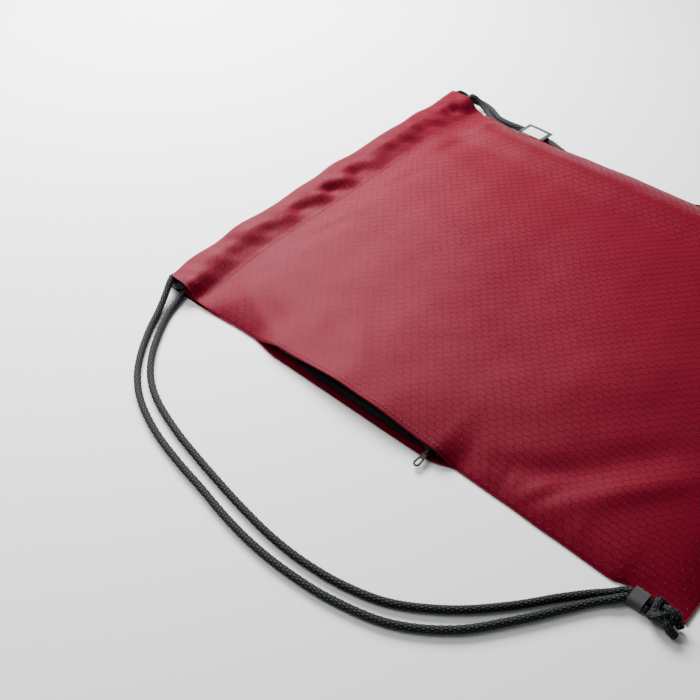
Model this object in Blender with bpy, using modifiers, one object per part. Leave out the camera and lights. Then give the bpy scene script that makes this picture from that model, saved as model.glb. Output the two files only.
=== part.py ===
"""Drawstring backpack with a side-seam zip pocket, lying flat on its back panel.

Metres, +Z up.  The mouth points to +Y, the zip pocket is in the -X side seam.
The floor is z = 0.  Each cloth panel is a sheet whose height is a smooth function of x and y.
"""
import math

import bmesh
import bpy
from mathutils import Matrix, Vector

# ---------------------------------------------------------------- driving dimensions
BAG_WIDTH = 0.360
BAG_LENGTH = 0.460
LEFT = -0.175                       # side seam with the zip
RIGHT = LEFT + BAG_WIDTH
MOUTH = BAG_LENGTH / 2
BOTTOM = -BAG_LENGTH / 2

CLOTH = 0.0008                      # panel thickness
LINING = 0.0005                     # lining and tape thickness
GAP = 0.0003                        # clearance between touching pieces
LAYER = CLOTH + GAP                 # distance between the mid surfaces of two touching layers

PUFF = 0.0135                       # how far the front panel stands off the back panel
PUFF_SPAN = 0.075                   # distance from a side seam over which it rises

CORD_DIAMETER = 0.005
CORD_R = CORD_DIAMETER / 2

# hems that hold the cords
HEM_START = 0.194                   # stitch line
HEM_FLAT = 0.201
HEM_HEIGHT = 0.0069                 # between the mid surfaces of the hem's two layers
HEM_ROUND_Y = MOUTH - HEM_HEIGHT / 2 - CLOTH / 2    # centre of the rounded mouth edge
HEM_LIFT = 0.0105                   # how far the front hem's ends stand above a closed seam
HEM_PUFF = 0.89                     # of the panel's puff, at the mouth
OUTER_RUN_Y = 0.222                 # the two cords inside each hem
INNER_RUN_Y = 0.208

# the cords that run under the right side raise it
EDGE_LIFT = 0.0062
EDGE_PULL = 0.010                   # the right side is drawn in below the mouth

# webbing loops near the bottom corners, in the side seams
LOOP_Y = (-0.206, -0.196)
LOOP_Z = 0.0038
LOOP_BORE_R = 0.0029
LOOP_WALL = 0.0008
LOOP_HALF_FLAT = 0.0031             # half of its straight part
LOOP_STEPS = 16
LOOP_HALF_WIDTH = LOOP_HALF_FLAT + LOOP_BORE_R + LOOP_WALL

# zip
ZIP_X = LEFT - 0.001
ZIP_Z = 0.0054
ZIP_TILT = math.radians(8)          # the slider's face looks slightly down
SLIDER_Y = -0.036                   # fully open
ZIP_BOTTOM = -0.0412
ZIP_TOP = 0.104
COIL_R = 0.00095
COIL_HALF_PITCH = 0.0011            # each closed coil's distance from the zip's centre line
WEDGE_PARTING = 0.0009
LIP_TO_COIL = 0.0040
TAPE_UNDER_LIP = 0.00105
TAPE_INWARD = 0.0055
LIP_RISE = 0.0090                   # front lip over the closed ends of the zip
LIP_GAPE = 0.0058                   # and its extra height in the middle
LIP_LOW_END = -0.046                # the lip is at full height from here to the zip's top
FRONT_LIP_OUT = 0.003
BACK_LIP_OUT = 0.007

LABEL_Y = (0.116, 0.142)
LABEL_THICKNESS = 0.0006
LABEL_DROP = 0.0016
LABEL_OUT = 0.1930
PULLER_TIP = 0.1930

PANEL_COLUMNS = 16
BODY_ROWS_MM = (-230, -215, -200, -185, -170, -150, -130, -110, -95, -80, -68, -57, -46, -30, -10, 10,
                35, 60, 80, 95, 106, 118, 129, 140, 152, 165, 178, 186, 194)

RED = (0.36, 0.022, 0.045, 1)
BLACK = (0.012, 0.012, 0.014, 1)
CHARCOAL = (0.030, 0.032, 0.034, 1)
METAL_BLACK = (0.020, 0.020, 0.022, 1)
WHITE = (0.80, 0.80, 0.78, 1)
MM = 0.001


# ---------------------------------------------------------------- scene helpers
def clear_scene():
    for obj in list(bpy.data.objects):
        bpy.data.objects.remove(obj, do_unlink=True)


def new_collection(name):
    collection = bpy.data.collections.new(name)
    bpy.context.scene.collection.children.link(collection)
    return collection


def material(name, colour, roughness, metallic=0.0):
    mat = bpy.data.materials.new(name)
    mat.use_nodes = True
    shader = mat.node_tree.nodes["Principled BSDF"]
    shader.inputs["Base Color"].default_value = colour
    shader.inputs["Roughness"].default_value = roughness
    shader.inputs["Metallic"].default_value = metallic
    return mat


def link(obj, mat):
    PARTS.objects.link(obj)
    obj.data.materials.append(mat)
    return obj


def smooth(low, high, value):
    t = min(max((value - low) / (high - low), 0.0), 1.0)
    return t * t * (3 - 2 * t)


# ---------------------------------------------------------------- the shape of the bag
def lift(x, y):
    """Height of the back panel's underside: it lies on the cords at the right."""
    along = smooth(-0.120, -0.075, y) * (1 - smooth(0.180, 0.1935, y))
    return EDGE_LIFT * smooth(0.122, 0.160, x) * along


def lip_plateau(y):
    return smooth(-0.080, LIP_LOW_END, y) * (1 - smooth(0.106, 0.140, y))


def lip_hump(y):
    return smooth(LIP_LOW_END, 0.025, y) * (1 - smooth(0.045, 0.106, y))


def front_left(y):
    return LEFT - FRONT_LIP_OUT * lip_plateau(y)


def back_left(y):
    return LEFT - BACK_LIP_OUT * lip_plateau(y)


def right_edge(y):
    return RIGHT - EDGE_PULL * smooth(0.060, 0.130, y) * (1 - smooth(0.172, 0.192, y))


def back_height(x, y):
    """Mid surface of the back panel."""
    return CLOTH / 2 + lift(x, y)


def front_height(x, y):
    """Mid surface of the front panel."""
    from_left = smooth(0, PUFF_SPAN, x - front_left(y))
    from_right = smooth(0, PUFF_SPAN, right_edge(y) - x)
    hem_end = HEM_LIFT * smooth(0.168, 0.192, y)
    left_rise = hem_end + LIP_RISE * lip_plateau(y) + LIP_GAPE * lip_hump(y)
    puff = PUFF * from_left * from_right * smooth(0, 0.080, y - BOTTOM)
    puff *= 1 - (1 - HEM_PUFF) * smooth(0.130, 0.190, y)
    edge = left_rise * (1 - from_left) + hem_end * (1 - from_right)
    return back_height(x, y) + LAYER + edge + puff


def round_edge(centre_z, radius, start, end, steps):
    """(y, dz) points round the mouth edge."""
    points = []
    for step in range(1, steps + 1):
        angle = math.radians(start + (end - start) * step / steps)
        points.append((HEM_ROUND_Y + radius * math.cos(angle), centre_z + radius * math.sin(angle)))
    return points


def hem_path(front):
    """(y, dz) of the hem beyond the stitch line: out along the outside, round, and back inside."""
    radius = HEM_HEIGHT / 2
    ramp_y = (HEM_START + HEM_FLAT) / 2
    end_y = HEM_START + 0.0006
    if front:
        top = HEM_HEIGHT - LAYER
        path = [(ramp_y, top / 2), (HEM_FLAT, top), (HEM_ROUND_Y, top)]
        path += round_edge(top - radius, radius, 90, -90, 6)
        return path + [(0.212, -LAYER), (end_y, -LAYER)]
    path = [(HEM_FLAT, 0), (HEM_ROUND_Y, 0)]
    path += round_edge(radius, radius, -90, 90, 6)
    return path + [(HEM_FLAT, HEM_HEIGHT), (ramp_y, (HEM_HEIGHT + LAYER) / 2), (end_y, LAYER)]


# ---------------------------------------------------------------- cloth sheets
def column_fraction(index, count):
    return 0.5 - 0.5 * math.cos(math.pi * index / count)


def grid_sheet(name, columns, rows, place, thickness, mat):
    """A grid whose vertices are put in place by place(column, row), thickened about its middle."""
    mesh = bpy.data.meshes.new(name)
    bm = bmesh.new()
    bmesh.ops.create_grid(bm, x_segments=columns, y_segments=rows, size=0.5)
    for vert in bm.verts:
        column = round((vert.co.x + 0.5) * columns)
        row = round((vert.co.y + 0.5) * rows)
        vert.co = Vector(place(column, row))
    bm.to_mesh(mesh)
    bm.free()
    obj = link(bpy.data.objects.new(name, mesh), mat)
    solid = obj.modifiers.new("thickness", "SOLIDIFY")
    solid.thickness = thickness
    solid.offset = 0
    return obj


def panel(name, front, mat):
    body_rows = [mm * MM for mm in BODY_ROWS_MM]
    hem = hem_path(front)
    height = front_height if front else back_height
    left_edge = front_left if front else back_left

    def place(column, row):
        in_body = row < len(body_rows)
        y, dz = (body_rows[row], 0.0) if in_body else hem[row - len(body_rows)]
        surface_y = y if in_body else HEM_START
        low = left_edge(surface_y)
        x = low + (right_edge(surface_y) - low) * column_fraction(column, PANEL_COLUMNS)
        return x, y, height(x, surface_y) + dz

    rows = len(body_rows) + len(hem) - 1
    return grid_sheet(name, PANEL_COLUMNS, rows, place, CLOTH, mat)


# ---------------------------------------------------------------- boxes and tubes
def add_box(bm, low, high):
    centre = [(a + b) / 2 for a, b in zip(low, high)]
    size = [b - a for a, b in zip(low, high)]
    matrix = Matrix.Translation(centre) @ Matrix.Diagonal((*size, 1))
    bmesh.ops.create_cube(bm, size=1, matrix=matrix)


def box_object(name, low, high, mat, parent=None):
    mesh = bpy.data.meshes.new(name)
    bm = bmesh.new()
    add_box(bm, low, high)
    bm.to_mesh(mesh)
    bm.free()
    obj = link(bpy.data.objects.new(name, mesh), mat)
    obj.parent = parent
    return obj


def tube(name, points, radius, mat, resolution=2):
    """A round cord or coil along a POLY spline."""
    curve = bpy.data.curves.new(name, "CURVE")
    curve.dimensions = "3D"
    curve.bevel_depth = radius
    curve.bevel_resolution = resolution
    curve.use_fill_caps = True
    spline = curve.splines.new("POLY")
    spline.points.add(len(points) - 1)
    for spline_point, point in zip(spline.points, points):
        spline_point.co = (*point, 1)
    return link(bpy.data.objects.new(name, curve), mat)


def smooth_route(route, spacing):
    """Points every spacing along a Catmull-Rom curve through the route's own points."""
    ends = [2 * route[0] - route[1], *route, 2 * route[-1] - route[-2]]
    fine = []
    for before, start, end, after in zip(ends, ends[1:], ends[2:], ends[3:]):
        for step in range(16):
            t = step / 16
            fine.append(0.5 * (2 * start + (end - before) * t
                               + (2 * before - 5 * start + 4 * end - after) * t ** 2
                               + (3 * start - before - 3 * end + after) * t ** 3))
    fine.append(route[-1])
    lengths = [0.0]
    for a, b in zip(fine, fine[1:]):
        lengths.append(lengths[-1] + (b - a).length)
    count = max(2, round(lengths[-1] / spacing))
    points = []
    index = 0
    for step in range(count + 1):
        target = lengths[-1] * step / count
        while index < len(fine) - 2 and lengths[index + 1] < target:
            index += 1
        span = lengths[index + 1] - lengths[index]
        points.append(fine[index].lerp(fine[index + 1], (target - lengths[index]) / span))
    return points


# ---------------------------------------------------------------- cords
# Each free strand, from the hem's end to the start of its straight run through its webbing loop, in
# millimetres.
STRAND_ROUTES_MM = {
    "cord_left_front_strand": (
        (-180, 221.6, 14.1), (-186, 218.8, 12.9), (-195, 213.5, 9.6), (-208, 206.5, 5.6), (-227, 196, 2.9),
        (-249, 180, 2.7), (-265, 164, 2.7), (-278, 144, 2.7), (-289, 116, 2.7), (-296, 86, 2.7),
        (-301, 56, 2.7), (-306, 28, 2.7), (-309, 0, 2.7), (-309, -30, 2.7), (-305, -64, 2.7),
        (-294, -100, 2.7), (-272, -131, 2.7), (-243, -153, 2.7), (-214, -169, 2.7), (-196, -178, 2.7),
        (-187.2, -186, 3.2), (-184.85, -193, 3.8)),
    "cord_left_back_strand": (
        (-182, 207.6, 3.6), (-190, 205.2, 3.1), (-206, 199, 2.7), (-226, 187, 2.7), (-244, 173, 2.7),
        (-259, 156, 2.7), (-270, 135, 2.7), (-279, 106, 2.7), (-285, 78, 2.7), (-290, 50, 2.7),
        (-294, 24, 2.7), (-297, -4, 2.7), (-297, -32, 2.7), (-293, -62, 2.7), (-283, -92, 2.7),
        (-262, -121, 2.7), (-234, -143, 2.7), (-207, -158, 2.7), (-190, -168, 2.7), (-181.6, -178, 3.2),
        (-179.35, -188, 3.8)),
    "cord_right_front_strand": (
        (188.9, 206.8, 13.8), (189.9, 203, 12.3), (190, 198.5, 9.9), (188.8, 192.5, 6.4),
        (186.4, 185.8, 3.7), (181.6, 178, 2.7), (178.2, 170, 2.7), (176.5, 160, 2.7), (173.5, 145, 2.7),
        (170, 128, 2.7), (167, 108, 2.7), (164.5, 80, 2.7), (163.5, 48, 2.7), (164, 20, 2.7),
        (167, -8, 2.7), (175, -33, 2.7), (190, -62, 2.7), (206, -90, 2.7), (216, -116, 2.7),
        (216, -138, 2.7), (207, -156, 2.7), (198, -168, 2.7), (191.6, -180, 3.2), (189.35, -190, 3.8)),
    "cord_right_back_strand": (
        (191.5, 220.3, 3.3), (195.5, 213.5, 2.7), (196.8, 204, 2.7), (196, 195, 2.7), (193.4, 186.5, 2.7),
        (189.3, 178.5, 2.7), (185.8, 171, 2.7), (184.9, 161, 2.7), (185.8, 150, 2.7), (186.6, 138, 2.7),
        (186.2, 124, 2.7), (184, 110, 2.7), (180, 96, 2.7), (175.5, 80, 2.7), (172.5, 58, 2.7),
        (171.5, 30, 2.7), (174, 2, 2.7), (182, -26, 2.7), (199, -56, 2.7), (218, -84, 2.7),
        (230, -112, 2.7), (230, -140, 2.7), (220, -163, 2.7), (206, -178, 2.7), (197.4, -187, 3.2),
        (194.85, -195, 3.8)),
}
STRAND_END_Y = -0.209
STRAIGHT_START = 0.002              # a strand leaves the end of its hem square to it
SEAM_TO_STRAND = 0.0015
TURN_FLATNESS = 0.75                # how flat a turn outside the hems lies
KNOT_RADII = (0.0075, 0.0070, 0.0065)
KNOT_FLOOR = 0.0004


def strand(name, mat):
    side = "left" if "left" in name else "right"
    front = "front" in name
    heading = 1 if side == "left" else -1
    outer = (side == "left") == front
    seam_x = LEFT if side == "left" else RIGHT
    start_z = front_run_height(seam_x) if front else BACK_RUN_Z
    start = Vector((seam_x - heading * SEAM_TO_STRAND, OUTER_RUN_Y if outer else INNER_RUN_Y, start_z))
    straight_end = start - Vector((heading * STRAIGHT_START, 0, 0))
    middle = [Vector(point) * MM for point in STRAND_ROUTES_MM[name]]
    points = [start] + smooth_route([straight_end, *middle], 2.5 * CORD_DIAMETER)
    points.append(Vector((middle[-1].x, STRAND_END_Y, middle[-1].z)))
    return tube(name, points, CORD_R, mat)


BACK_RUN_Z = CLOTH / 2 + HEM_HEIGHT / 2


def front_run_height(x):
    return front_height(x, HEM_START) + HEM_HEIGHT / 2 - LAYER


def hem_loop(name, turn_side, front_y, back_y, mat):
    """A cord's held length: through the front hem, round outside turn_side, back through the back hem."""
    start_x, turn_x = (RIGHT, LEFT) if turn_side == "left" else (LEFT, RIGHT)
    outward = -1 if turn_side == "left" else 1
    start_x -= outward * (SEAM_TO_STRAND - GAP)
    runs = 14
    front_points = []
    for step in range(runs + 1):
        x = start_x + (turn_x - start_x) * column_fraction(step, runs)
        front_points.append(Vector((x, front_y, front_run_height(min(max(x, LEFT), RIGHT)))))
    turn_start = front_points[-1]
    turn_end = Vector((turn_x, back_y, BACK_RUN_Z))
    centre = (turn_start + turn_end) / 2
    arm = turn_start - centre
    reach = Vector((outward * arm.length * TURN_FLATNESS, 0, 0))
    turn = []
    for step in range(1, 8):
        angle = math.pi * step / 8
        turn.append(centre + arm * math.cos(angle) + reach * math.sin(angle))
    back_points = [turn_end]
    for step in range(1, 4):
        back_points.append(turn_end.lerp(Vector((start_x, back_y, BACK_RUN_Z)), step / 3))
    return tube(name, front_points + turn + back_points, CORD_R, mat)


def loop_centres():
    reach = GAP + LOOP_HALF_WIDTH
    return {"left": LEFT - reach, "right": RIGHT + reach}


def webbing_loop(name, centre_x, mat):
    """A flattened loop of webbing that both strands of one cord pass through."""
    mesh = bpy.data.meshes.new(name)
    bm = bmesh.new()
    corners = ((LOOP_BORE_R + LOOP_WALL, LOOP_Y[0]), (LOOP_BORE_R + LOOP_WALL, LOOP_Y[1]),
               (LOOP_BORE_R, LOOP_Y[1]), (LOOP_BORE_R, LOOP_Y[0]))
    rings = []
    for step in range(LOOP_STEPS):
        angle = math.tau * (step + 0.5) / LOOP_STEPS
        middle_x = centre_x + math.copysign(LOOP_HALF_FLAT, math.cos(angle))
        ring = []
        for radius, y in corners:
            ring.append(bm.verts.new((middle_x + radius * math.cos(angle), y, LOOP_Z + radius * math.sin(angle))))
        rings.append(ring)
    for ring, after in zip(rings, rings[1:] + rings[:1]):
        for index in range(4):
            other = (index + 1) % 4
            bm.faces.new((ring[index], ring[other], after[other], after[index]))
    bmesh.ops.recalc_face_normals(bm, faces=bm.faces)
    bm.to_mesh(mesh)
    bm.free()
    return link(bpy.data.objects.new(name, mesh), mat)


def knot(name, centre_x, mat):
    """The knot that ties a cord's two ends together beyond its loop."""
    mesh = bpy.data.meshes.new(name)
    bm = bmesh.new()
    bmesh.ops.create_uvsphere(bm, u_segments=16, v_segments=10, radius=1.0,
                              matrix=Matrix.Diagonal((*KNOT_RADII, 1)))
    bm.to_mesh(mesh)
    bm.free()
    obj = link(bpy.data.objects.new(name, mesh), mat)
    obj.location = (centre_x, STRAND_END_Y - GAP - KNOT_RADII[1], KNOT_FLOOR + KNOT_RADII[2])
    return obj


# ---------------------------------------------------------------- zip
def across(x, y, distance):
    """The point that far along the zip's face from a point of its centre line."""
    return Vector((x - distance * math.sin(ZIP_TILT), y, ZIP_Z + distance * math.cos(ZIP_TILT)))


def zip_gape(y):
    """0 where the zip is closed, 1 where its edges hang free."""
    return smooth(-0.031, 0.0, y) * (1 - smooth(0.068, 0.094, y))


def coil_offset(y):
    """Distance of each coil from the centre line, parted by the slider's wedge."""
    return COIL_HALF_PITCH + WEDGE_PARTING * smooth(-0.0395, -0.0318, y) * (1 - smooth(0.094, ZIP_TOP, y))


def coil_point(y, front):
    sign = 1 if front else -1
    held = across(ZIP_X, y, sign * coil_offset(y))
    if front:
        hanging = Vector((LEFT + 0.0025, y, front_height(LEFT, y) - LIP_TO_COIL))
    else:
        hanging = across(ZIP_X - 0.0012, y, -0.0024)
    return held.lerp(hanging, zip_gape(y))


def zip_rows():
    """y positions along the zip, closer together where the coils part."""
    rows = [ZIP_BOTTOM, -0.0395, -0.037, -0.0345, -0.0315, -0.027, -0.020, -0.010]
    rows += [0.002, 0.020, 0.045, 0.070, 0.079, 0.087, 0.094, 0.0995, ZIP_TOP]
    return rows


def zip_coil(name, upper, mat):
    return tube(name, [coil_point(y, upper) for y in zip_rows()], COIL_R, mat)


def zip_tape(name, front, mat):
    """Cloth tape from the coil to the lip of its panel, then a little way in beside the panel."""
    rows = zip_rows()
    rows[0] -= 0.001
    rows[-1] += 0.002
    columns = 3

    def place(column, row):
        y = rows[row]
        coil_y = min(max(y, ZIP_BOTTOM), ZIP_TOP)
        sign = 1 if front else -1
        coil = coil_point(coil_y, front)
        step = across(0, 0, sign * (COIL_R + GAP)) - across(0, 0, 0)
        near = Vector((coil.x + step.x, y, coil.z + step.z))
        lip_z = front_height(LEFT, y) - TAPE_UNDER_LIP if front else CLOTH + GAP + LINING / 2
        lean = (lip_z - near.z) * math.tan(ZIP_TILT)
        lip = Vector((near.x - lean * (1 - zip_gape(y)), y, lip_z))
        if column == 0:
            return near
        inner_z = front_height(LEFT + TAPE_INWARD, y) - TAPE_UNDER_LIP if front else lip_z
        return lip.lerp(Vector((LEFT + TAPE_INWARD, y, inner_z)), (column - 1) / 2)

    return grid_sheet(name, columns, len(rows) - 1, place, LINING, mat)


def zip_frame(name, offset):
    """An empty in the zip's own frame: X out of the bag, Y to its bottom, Z across the tape."""
    empty = bpy.data.objects.new(name, None)
    turn = Matrix.Rotation(-ZIP_TILT, 4, "Y") @ Matrix.Rotation(math.pi, 4, "Z")
    empty.matrix_world = Matrix.Translation((ZIP_X, SLIDER_Y, ZIP_Z)) @ turn @ Matrix.Translation(offset)
    PARTS.objects.link(empty)
    return empty


SLIDER_HALF_CHANNEL = 0.00115
SLIDER_PLATE = 0.0008
SLIDER_SLOT = 0.00045
PIN_OUT = 0.0040                    # distance of the puller's pin from the zip's centre plane
PIN_R = 0.00055
LUG_IN = 0.00075
LUG_OUT = 0.0017
PULLER_ROOT_R = 0.0015


def plate_outline():
    """(y, z) outline of a slider plate: a wide mouth towards -Y, narrower towards +Y."""
    half = ((-0.0043, 0.0024), (-0.0030, 0.0035), (0.0032, 0.0033), (0.0043, 0.0022))
    return tuple((y, -z) for y, z in half) + tuple((y, z) for y, z in reversed(half))


def add_prism(bm, outline, x_low, x_high):
    """A prism along X over a (y, z) outline."""
    lower = [bm.verts.new((x_low, y, z)) for y, z in outline]
    upper = [bm.verts.new((x_high, y, z)) for y, z in outline]
    bm.faces.new(list(reversed(lower)))
    bm.faces.new(upper)
    for index in range(len(outline)):
        after = (index + 1) % len(outline)
        bm.faces.new((lower[index], lower[after], upper[after], upper[index]))


def boolean_union(name, solids, mat, parent):
    """One closed body from several overlapping solids."""
    objects = []
    for index, build in enumerate(solids):
        mesh = bpy.data.meshes.new("%s_%d" % (name, index))
        bm = bmesh.new()
        build(bm)
        bmesh.ops.recalc_face_normals(bm, faces=bm.faces)
        bm.to_mesh(mesh)
        bm.free()
        objects.append(bpy.data.objects.new(mesh.name, mesh))
    body = link(objects[0], mat)
    body.name = name
    body.parent = parent
    for tool in objects[1:]:
        CUTTERS.objects.link(tool)
        tool.parent = parent
        tool.hide_render = True
        tool.display_type = "WIRE"
        union = body.modifiers.new("union", "BOOLEAN")
        union.operation = "UNION"
        union.object = tool
    return body


def slider_solids():
    channel = SLIDER_HALF_CHANNEL
    plate = channel + SLIDER_PLATE
    solids = [lambda bm: add_prism(bm, plate_outline(), channel, plate),
              lambda bm: add_prism(bm, plate_outline(), -plate, -channel)]
    wedge = ((-0.0041, -0.0006), (-0.0016, -0.00035), (-0.0016, 0.00035), (-0.0041, 0.0006))
    solids.append(lambda bm: add_prism(bm, wedge, -channel - 0.0002, channel + 0.0002))
    for x_low, x_high in ((SLIDER_SLOT, channel + 0.0002), (-channel - 0.0002, -SLIDER_SLOT)):
        for z_low, z_high in ((0.0027, 0.0032), (-0.0032, -0.0027)):
            low = (x_low, -0.0005, z_low)
            high = (x_high, 0.0031, z_high)
            solids.append(lambda bm, low=low, high=high: add_box(bm, low, high))
    for z_low, z_high in ((LUG_IN, LUG_OUT), (-LUG_OUT, -LUG_IN)):
        low = (plate - 0.0002, -0.0010, z_low)
        high = (PIN_OUT + 0.0008, 0.0010, z_high)
        solids.append(lambda bm, low=low, high=high: add_box(bm, low, high))

    def pin(bm):
        bmesh.ops.create_cone(bm, cap_ends=True, segments=12, radius1=PIN_R, radius2=PIN_R,
                              depth=2 * LUG_OUT - 0.0004, matrix=Matrix.Translation((PIN_OUT, 0, 0)))
    solids.append(pin)
    return solids


def puller(mat, parent):
    """Flat plate with a round eye on the pin and a long oval window near its end."""
    length = PULLER_LENGTH
    outline = []
    for step in range(9):
        angle = math.radians(90 + 22.5 * step)
        outline.append((PULLER_ROOT_R * math.cos(angle), PULLER_ROOT_R * math.sin(angle)))
    outline += [(0.0040, -0.0020), (length - 0.0030, -0.0026)]
    for step in range(7):
        angle = math.radians(-75 + 25 * step)
        outline.append((length - 0.0026 + 0.0026 * math.cos(angle), 0.0026 * math.sin(angle)))
    outline += [(length - 0.0030, 0.0026), (0.0040, 0.0020)]
    eye = [(0.00085 * math.cos(math.tau * s / 12), 0.00085 * math.sin(math.tau * s / 12)) for s in range(12)]
    window = []
    for centre, start in ((length - 0.0026, -90), (length - 0.0060, 90)):
        for step in range(6):
            angle = math.radians(start + 36 * step)
            window.append((centre + 0.0013 * math.cos(angle), 0.0013 * math.sin(angle)))
    curve = bpy.data.curves.new("zip_puller", "CURVE")
    curve.dimensions = "2D"
    curve.fill_mode = "BOTH"
    curve.extrude = PULLER_THICKNESS / 2
    for loop in (outline, eye, window):
        spline = curve.splines.new("POLY")
        spline.points.add(len(loop) - 1)
        spline.use_cyclic_u = True
        for spline_point, (x, y) in zip(spline.points, loop):
            spline_point.co = (x, y, 0, 1)
    obj = link(bpy.data.objects.new("zip_puller", curve), mat)
    obj.parent = parent
    return obj


PULLER_THICKNESS = 0.001
PULLER_REACH = PULLER_TIP + ZIP_X - PULLER_THICKNESS / 2 * math.sin(ZIP_TILT)
PULLER_LENGTH = PULLER_REACH / math.cos(ZIP_TILT) - PIN_OUT


def zip_stops(mat):
    for word, upper in (("front", True), ("back", False)):
        coil = coil_point(ZIP_TOP, upper)
        low = (coil.x - 0.0011, ZIP_TOP + GAP, coil.z - 0.0009)
        high = (coil.x + 0.0011, ZIP_TOP + GAP + 0.0016, coil.z + 0.0009)
        box_object("zip_top_stop_" + word, low, high, mat)
    low = (ZIP_X - 0.0013, ZIP_BOTTOM - GAP - 0.0020, ZIP_Z - 0.0021)
    high = (ZIP_X + 0.0013, ZIP_BOTTOM - GAP, ZIP_Z + 0.0021)
    box_object("zip_bottom_stop", low, high, mat)


# ---------------------------------------------------------------- pocket lining and label
POCKET_X = (LEFT + 0.0085, LEFT + 0.125)
POCKET_Y = (-0.050, 0.112)
POCKET_ROOF = 0.0098


def pocket_layer(name, upper, mat):
    """One of the two layers of the pocket bag that hangs inside the side seam."""
    columns = 12
    rows = 12
    low_z = CLOTH + GAP + LINING / 2

    def place(column, row):
        x = POCKET_X[0] + (POCKET_X[1] - POCKET_X[0]) * column / columns
        y = POCKET_Y[0] + (POCKET_Y[1] - POCKET_Y[0]) * row / rows
        if not upper:
            return x, y, low_z
        seam_z = low_z + LINING + GAP
        mouth_z = front_height(POCKET_X[0], y) - 0.0024
        roof = POCKET_ROOF + (mouth_z - POCKET_ROOF) * (1 - smooth(0, 0.032, x - POCKET_X[0]))
        span_y = smooth(POCKET_Y[0], POCKET_Y[0] + 0.024, y) * (1 - smooth(POCKET_Y[1] - 0.024, POCKET_Y[1], y))
        span_x = 1 - smooth(POCKET_X[1] - 0.024, POCKET_X[1], x)
        return x, y, seam_z + (roof - seam_z) * span_y * span_x

    return grid_sheet(name, columns, rows, place, LINING, mat)


def label(mat):
    """Folded woven label, caught in the right side seam and lying out over the cord."""
    seam_x = max(right_edge(y) for y in LABEL_Y) + GAP
    columns = 2

    def place(column, row):
        out = column / columns
        z = EDGE_LIFT + CLOTH + 0.0004 - LABEL_DROP * out
        return seam_x + (LABEL_OUT - seam_x) * out, LABEL_Y[row], z

    return grid_sheet("seam_label", columns, 1, place, LABEL_THICKNESS, mat)


# ---------------------------------------------------------------- build
def build():
    red = material("red_ripstop", RED, 0.55)
    lining = material("black_lining", BLACK, 0.85)
    tape = material("black_zip_tape", BLACK, 0.75)
    coil = material("black_zip_coil", BLACK, 0.40)
    zip_metal = material("black_zip_metal", METAL_BLACK, 0.30, 0.6)
    cord = material("charcoal_cord", CHARCOAL, 0.80)
    webbing = material("black_webbing", BLACK, 0.80)
    white = material("white_label", WHITE, 0.70)

    panel("front_panel", True, red)
    panel("back_panel", False, red)
    for side, x in loop_centres().items():
        webbing_loop("cord_%s_webbing_loop" % side, x, webbing)
        knot("cord_%s_knot" % side, x, cord)

    hem_loop("cord_left_hem_loop", "right", OUTER_RUN_Y, INNER_RUN_Y, cord)
    hem_loop("cord_right_hem_loop", "left", INNER_RUN_Y, OUTER_RUN_Y, cord)
    for name in STRAND_ROUTES_MM:
        strand(name, cord)

    zip_coil("zip_coil_front", True, coil)
    zip_coil("zip_coil_back", False, coil)
    zip_tape("zip_tape_front", True, tape)
    zip_tape("zip_tape_back", False, tape)
    zip_stops(zip_metal)
    slider_frame = zip_frame("zip_slider_axis", (0, 0, 0))
    boolean_union("zip_slider", slider_solids(), zip_metal, slider_frame)
    puller(zip_metal, zip_frame("zip_puller_axis", (PIN_OUT, 0, 0)))

    pocket_layer("pocket_lining_front", True, lining)
    pocket_layer("pocket_lining_back", False, lining)
    label(white)


clear_scene()
PARTS = new_collection("drawstring_backpack")
CUTTERS = new_collection("cutters")
build()
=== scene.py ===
"""Looks of the drawstring backpack: cloth, braid, zip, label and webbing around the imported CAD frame.

Metres.  +Y points to the mouth, the zip pocket is in the -X side seam, the floor is z = 0.
"""
import math

import bmesh
import bpy
import numpy as np
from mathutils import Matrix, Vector


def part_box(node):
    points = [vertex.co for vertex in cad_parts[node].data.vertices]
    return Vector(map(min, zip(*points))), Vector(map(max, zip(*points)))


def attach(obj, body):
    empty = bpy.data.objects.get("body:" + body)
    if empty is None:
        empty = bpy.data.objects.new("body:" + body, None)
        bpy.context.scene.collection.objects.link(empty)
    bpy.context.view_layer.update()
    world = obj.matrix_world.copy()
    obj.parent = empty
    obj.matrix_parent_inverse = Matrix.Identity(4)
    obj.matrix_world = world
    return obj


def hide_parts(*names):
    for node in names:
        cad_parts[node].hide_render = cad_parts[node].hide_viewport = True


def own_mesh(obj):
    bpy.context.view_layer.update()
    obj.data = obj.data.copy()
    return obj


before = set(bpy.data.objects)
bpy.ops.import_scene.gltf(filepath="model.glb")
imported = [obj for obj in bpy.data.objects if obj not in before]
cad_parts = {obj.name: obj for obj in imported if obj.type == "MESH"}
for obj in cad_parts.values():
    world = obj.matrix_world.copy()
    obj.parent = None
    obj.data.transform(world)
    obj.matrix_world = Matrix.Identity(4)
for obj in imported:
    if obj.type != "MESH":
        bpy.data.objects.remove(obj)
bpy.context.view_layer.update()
MM = 0.001
BAG = "bag"


def cad_box(node):
    """Low and high corners of a CAD node's box."""
    low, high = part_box(node)
    return Vector(low), Vector(high)


# ---------------------------------------------------------------- sizes taken from the frame
LOOPS = {side: cad_box("cord_%s_webbing_loop" % side) for side in ("left", "right")}
LEFT = LOOPS["left"][1].x + 0.0004          # side seams
RIGHT = LOOPS["right"][0].x - 0.0004
BOTTOM = cad_box("front_panel")[0].y
LABEL_LOW, LABEL_HIGH = cad_box("seam_label")

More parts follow.
